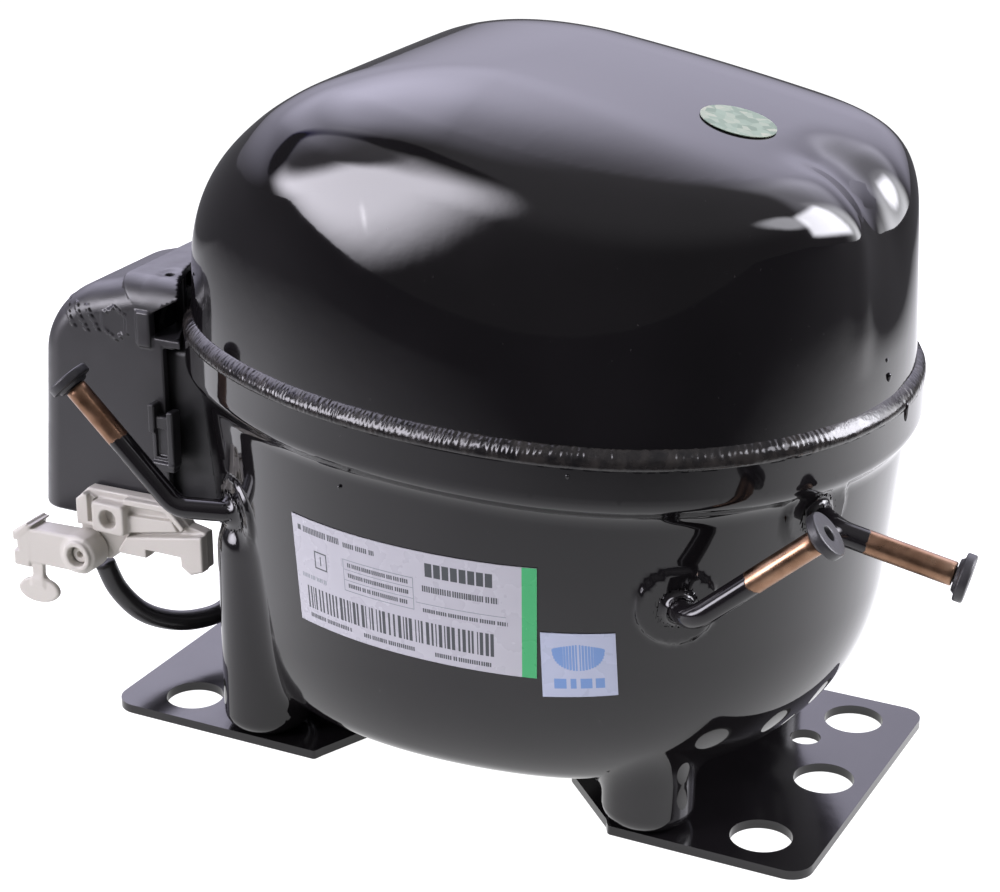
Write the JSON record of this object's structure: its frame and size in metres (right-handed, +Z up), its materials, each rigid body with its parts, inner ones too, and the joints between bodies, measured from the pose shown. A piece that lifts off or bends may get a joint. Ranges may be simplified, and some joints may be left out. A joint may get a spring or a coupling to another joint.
{
  "type": "hermetic refrigeration compressor",
  "caption": "Hermetic reciprocating refrigeration compressor: glossy welded shell on foot plates, plugged copper tube stubs, relay housing and cord clamp, with its spring-mounted pump inside.",
  "frame": {"origin": "centre of the footprint bounding box, on the plane the feet stand on", "axes": "+Z up; +X along the long axis of the shell towards the discharge tube end, so the terminal end is at -X"},
  "size_m": [0.2728, 0.155, 0.1891],
  "materials": {
    "black_enamel": "gloss",
    "weld_bead": "gloss",
    "copper_tube": "drawn copper",
    "plug_rubber": "moulded",
    "black_plastic": "fine grain",
    "white_plastic": "moulded",
    "cable_jacket": "extruded",
    "label_film": "printed film",
    "seal_foil": "metallised film",
    "plated_steel": "machined",
    "lamination": "stamped laminations",
    "winding": "varnished wire",
    "cast_iron": "machined casting",
    "aluminium": "die cast",
    "spring_steel": "oil tempered",
    "pale_plastic": "moulded",
    "gasket": "fibre gasket"
  },
  "bodies": {
    "shell": {"lower_shell": "black_enamel", "top_cover": "black_enamel", "seam_weld": "weld_bead", "left_foot_plate": "black_enamel", "right_foot_plate": "black_enamel", "suction_collar": "black_enamel", "process_collar": "black_enamel", "discharge_collar": "black_enamel", "suction_tube": "copper_tube", "process_tube": "copper_tube", "discharge_tube": "copper_tube", "starter_relay": "black_plastic", "overload_protector": "black_plastic", "overload_spring_clip": "spring_steel", "cord_clamp_frame": "white_plastic", "cord_clamp_screw": "white_plastic", "supply_cable": "cable_jacket", "rating_label": "label_film", "refrigerant_label": "label_film", "inspection_seal": "seal_foil", "terminal_body": "plated_steel", "terminal_pin_a": "plated_steel", "terminal_pin_b": "plated_steel", "terminal_pin_c": "plated_steel"},
    "pump_frame": {"crankcase": "cast_iron", "stator_core": "lamination", "upper_winding": "winding", "lower_winding": "winding", "left_spring_bracket": "plated_steel", "right_spring_bracket": "plated_steel", "valve_plate": "plated_steel", "head_gasket": "gasket", "cylinder_head": "aluminium", "head_bolt_a": "plated_steel", "head_bolt_b": "plated_steel", "head_bolt_c": "plated_steel", "head_bolt_d": "plated_steel", "suction_muffler": "pale_plastic", "discharge_loop_tube": "copper_tube", "front_left_suspension_spring": "spring_steel", "rear_left_suspension_spring": "spring_steel", "front_right_suspension_spring": "spring_steel", "rear_right_suspension_spring": "spring_steel"},
    "crank": {"rotor": "aluminium", "crankshaft": "cast_iron", "counterweight": "cast_iron", "oil_pickup_tube": "plated_steel"},
    "slider": {"slider_block": "plated_steel"},
    "thrust_washer": {"crankpin_thrust_washer": "plated_steel"},
    "piston_assembly": {"piston_yoke": "cast_iron", "piston": "plated_steel"},
    "suction_valve": {"suction_reed": "spring_steel"},
    "discharge_valve": {"discharge_reed": "spring_steel"},
    "suction_stopper": {"suction_plug": "plug_rubber"},
    "process_stopper": {"process_plug": "plug_rubber"},
    "discharge_stopper": {"discharge_plug": "plug_rubber"},
    "relay_housing": {"relay_cover": "black_plastic", "cover_clip": "black_plastic"},
    "cord_clamp_arm": {"cord_clamp_jaw": "white_plastic"}
  },
  "joints": [
    {"name": "pump_suspension", "type": "slide", "parent": "shell", "child": "pump_frame", "axis": [0, 0, 1], "range_m": [-0.002, 0.002], "deforming": ["front_left_suspension_spring", "rear_left_suspension_spring", "front_right_suspension_spring", "rear_right_suspension_spring"]},
    {"name": "crank_spin", "type": "hinge", "parent": "pump_frame", "child": "crank", "pos_m": [0.00025, 0, 0.08], "axis": [0, 0, 1], "continuous": true},
    {"name": "slider_turn", "type": "hinge", "parent": "crank", "child": "slider", "pos_m": [0.00825, 0, 0.13], "axis": [0, 0, 1], "continuous": true},
    {"name": "washer_turn", "type": "hinge", "parent": "crank", "child": "thrust_washer", "pos_m": [0.00425, 0, 0.123], "axis": [0, 0, 1], "continuous": true},
    {"name": "piston_stroke", "type": "hinge", "parent": "thrust_washer", "child": "piston_assembly", "pos_m": [0.00825, 0, 0.13], "axis": [0, 0, 1], "continuous": true},
    {"name": "suction_reed_flex", "type": "hinge", "parent": "pump_frame", "child": "suction_valve", "pos_m": [0.05155, 0, 0.1395], "axis": [0, 1, 0], "range_deg": [0, 3.5]},
    {"name": "discharge_reed_flex", "type": "hinge", "parent": "pump_frame", "child": "discharge_valve", "pos_m": [0.05585, 0, 0.12], "axis": [0, 1, 0], "range_deg": [0, 5]},
    {"name": "suction_plug_pull", "type": "slide", "parent": "shell", "child": "suction_stopper", "axis": [-0.6913, -0.058, 0.7203], "range_m": [0, 0.012]},
    {"name": "process_plug_pull", "type": "slide", "parent": "shell", "child": "process_stopper", "axis": [0.753, 0.1512, 0.6404], "range_m": [0, 0.012]},
    {"name": "discharge_plug_pull", "type": "slide", "parent": "shell", "child": "discharge_stopper", "axis": [0.9649, 0.1188, -0.234], "range_m": [0, 0.012]},
    {"name": "relay_cover_slide", "type": "slide", "parent": "shell", "child": "relay_housing", "axis": [-1, 0, 0], "range_m": [0, 0.04]},
    {"name": "cord_clamp_swing", "type": "hinge", "parent": "shell", "child": "cord_clamp_arm", "pos_m": [-0.11385, -0.044, 0.0429], "axis": [0, -1, 0], "range_deg": [0, 60]}
  ],
  "couplings": [
    {"joint": "slider_turn", "follows": "crank_spin", "ratio": -1},
    {"joint": "washer_turn", "follows": "crank_spin", "ratio": -2},
    {"joint": "piston_stroke", "follows": "crank_spin", "ratio": 1}
  ]
}
